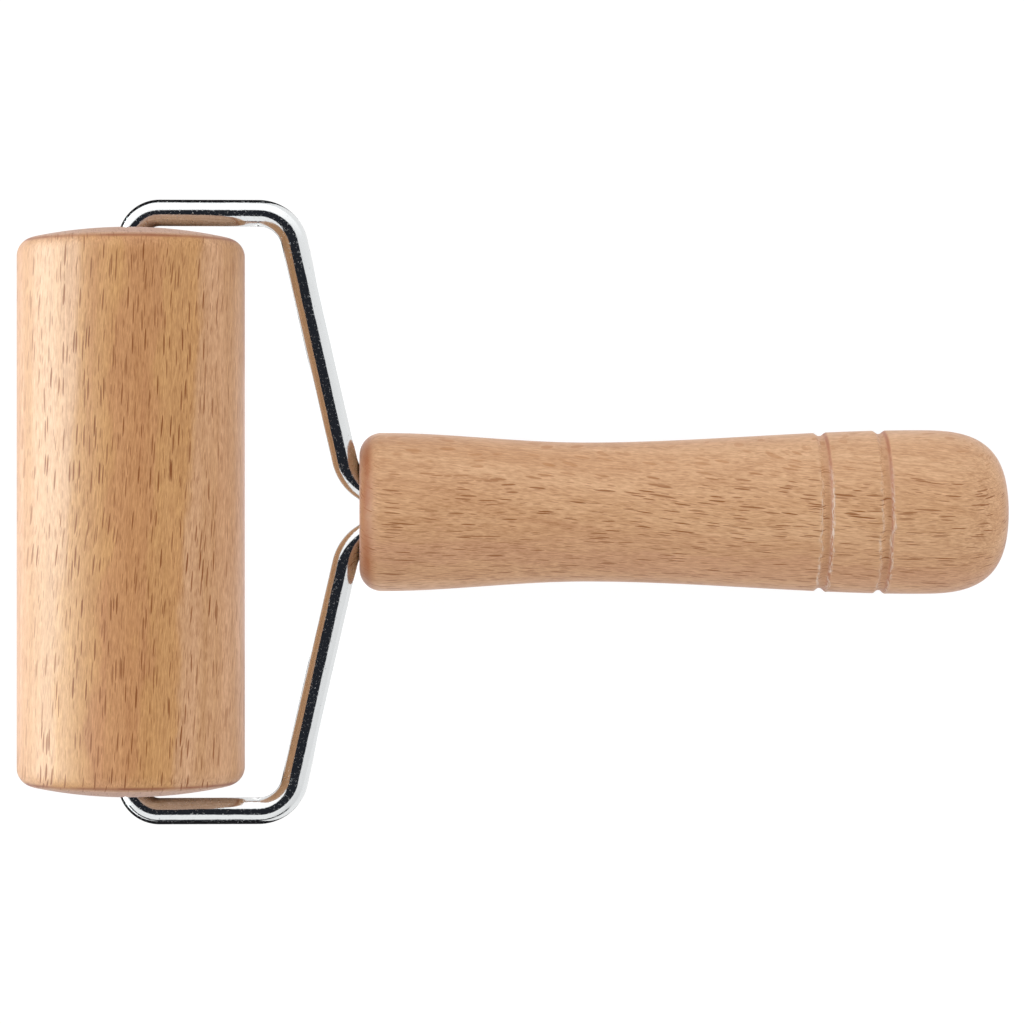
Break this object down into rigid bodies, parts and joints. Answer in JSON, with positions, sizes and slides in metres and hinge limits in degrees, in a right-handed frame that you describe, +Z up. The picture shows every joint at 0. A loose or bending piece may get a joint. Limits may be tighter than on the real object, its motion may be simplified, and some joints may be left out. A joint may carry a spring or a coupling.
{
  "type": "hand roller",
  "caption": "T-handled hand roller: a turned beech roller spinning on two bent chrome wire arms set into a turned beech handle.",
  "frame": {"origin": "on the table under the middle of the lying tool's box, with the roller and the handle's rear swell touching the table at z = 0", "axes": "+X from the roller towards the end of the handle, +Y along the roller's axis, +Z up"},
  "size_m": [0.1802, 0.1134, 0.0412],
  "materials": {
    "roller_beech": "fine-turned beech under a thin satin oil, with short dark pores along the roller",
    "handle_beech": "turned and sanded beech under a thin satin varnish, with two cut V grooves",
    "chrome_wire": "bright chrome plate on round steel wire"
  },
  "bodies": {
    "frame": {"handle": "handle_beech", "right_arm": "chrome_wire", "left_arm": "chrome_wire"},
    "roller": {"roller": "roller_beech"}
  },
  "joints": [
    {"name": "roller_spin", "type": "hinge", "parent": "frame", "child": "roller", "pos_m": [-0.06946, 0, 0.0206], "axis": [0, 1, 0], "continuous": true}
  ]
}
